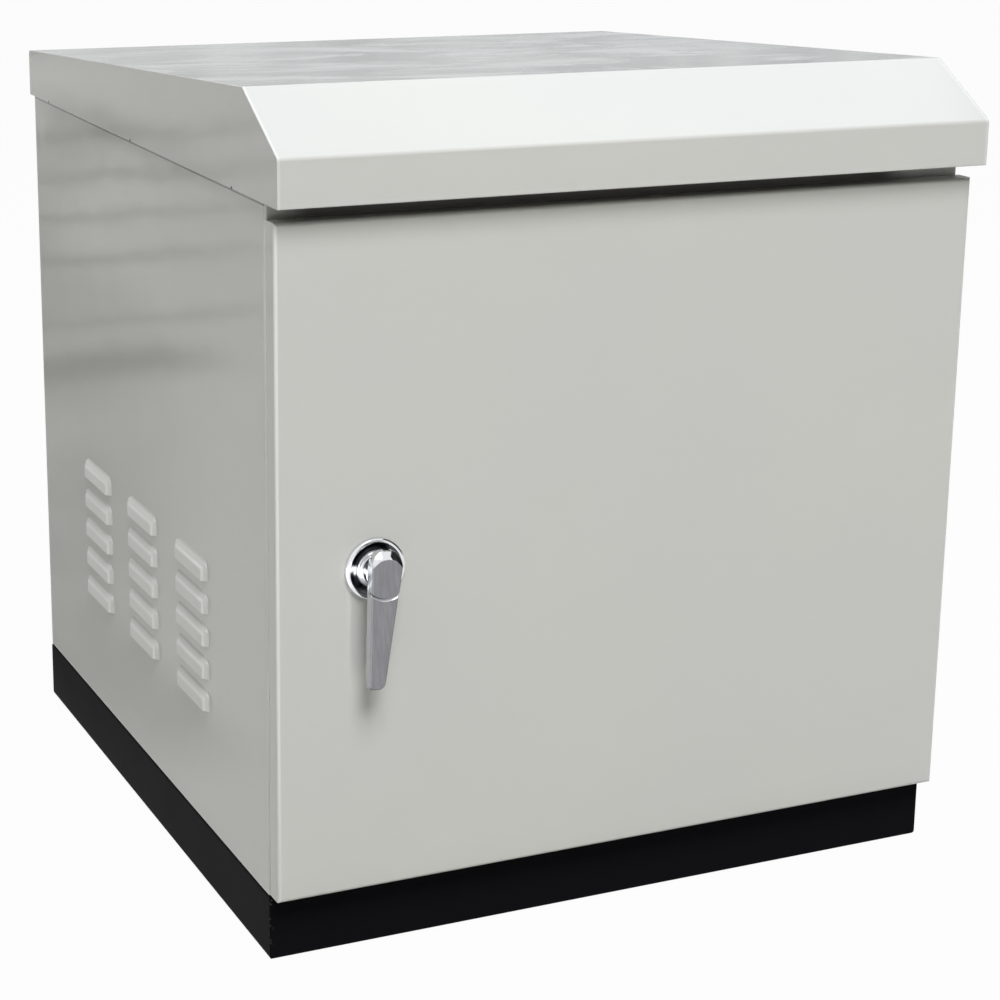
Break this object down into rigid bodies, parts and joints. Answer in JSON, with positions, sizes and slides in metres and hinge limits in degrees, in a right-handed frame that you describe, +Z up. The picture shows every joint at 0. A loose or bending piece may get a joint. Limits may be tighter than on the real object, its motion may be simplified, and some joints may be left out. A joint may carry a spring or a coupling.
{
  "type": "outdoor equipment cabinet",
  "caption": "Free-standing steel roadside cabinet with a sloped rain canopy, louvred sides, a lever-locked hinged door, rack rails inside and a dark plinth to bolt down.",
  "frame": {"origin": "on the ground at the centre of the four anchor holes in the plinth", "axes": "+Z up, +X to the right seen from the front, +Y towards the back; the door faces -Y"},
  "size_m": [0.6084, 0.669, 0.6719],
  "materials": {
    "body_paint": "semi-gloss light grey powder coat",
    "plinth_paint": "satin black paint",
    "chrome": "polished, with satin faces on the lever and cover",
    "zinc_steel": "zinc plated",
    "brass": "plain",
    "rubber": "matte",
    "filter_foam": "open foam"
  },
  "bodies": {
    "cabinet": {"plinth_front": "plinth_paint", "plinth_rear": "plinth_paint", "plinth_left": "plinth_paint", "plinth_right": "plinth_paint", "plinth_bolts": "zinc_steel", "plinth_nuts": "zinc_steel", "floor_panel": "body_paint", "left_side_panel": "body_paint", "right_side_panel": "body_paint", "rear_panel": "body_paint", "top_panel": "body_paint", "roof_canopy": "body_paint", "front_roof_bearer": "zinc_steel", "rear_roof_bearer": "zinc_steel", "roof_bolts": "zinc_steel", "roof_nuts": "zinc_steel", "left_upper_brace": "zinc_steel", "left_lower_brace": "zinc_steel", "right_upper_brace": "zinc_steel", "right_lower_brace": "zinc_steel", "front_left_rail": "zinc_steel", "front_right_rail": "zinc_steel", "rear_left_rail": "zinc_steel", "rear_right_rail": "zinc_steel", "rail_bolts": "zinc_steel", "rail_nuts": "zinc_steel", "left_filter_channels": "zinc_steel", "left_filter_mat": "filter_foam", "right_filter_channels": "zinc_steel", "right_filter_mat": "filter_foam", "cable_grommets": "rubber", "earth_stud": "zinc_steel", "earth_washer": "zinc_steel", "earth_nut": "brass", "upper_hinge_arm": "zinc_steel", "lower_hinge_arm": "zinc_steel", "hinge_screws": "zinc_steel"},
    "door": {"door_panel": "body_paint", "door_stiffeners": "body_paint", "door_gasket": "rubber", "upper_hinge_leaf": "zinc_steel", "lower_hinge_leaf": "zinc_steel", "hinge_pins": "zinc_steel", "handle_rose": "chrome", "rose_washer": "zinc_steel", "rose_nut": "zinc_steel"},
    "handle": {"handle_lever": "chrome", "key_cover_pin": "chrome", "latch_cam": "zinc_steel", "cam_screw": "zinc_steel"},
    "key_cover": {"key_cover": "chrome"},
    "lock_plug": {"lock_plug": "zinc_steel"}
  },
  "joints": [
    {"name": "door_hinge", "type": "hinge", "parent": "cabinet", "child": "door", "pos_m": [0.2931, -0.32252, 0.319], "axis": [0, 0, 1], "range_deg": [0, 110]},
    {"name": "handle_turn", "type": "hinge", "parent": "door", "child": "handle", "pos_m": [-0.222, -0.32942, 0.3165], "axis": [0, -1, 0], "range_deg": [0, 94.6]},
    {"name": "key_cover_lift", "type": "hinge", "parent": "handle", "child": "key_cover", "pos_m": [-0.22068, -0.34822, 0.33285], "axis": [-0.9968, 0, 0.0802], "range_deg": [0, 100]},
    {"name": "lock_plug_turn", "type": "hinge", "parent": "handle", "child": "lock_plug", "pos_m": [-0.222, -0.34862, 0.3165], "axis": [0, -1, 0], "range_deg": [0, 90]}
  ]
}
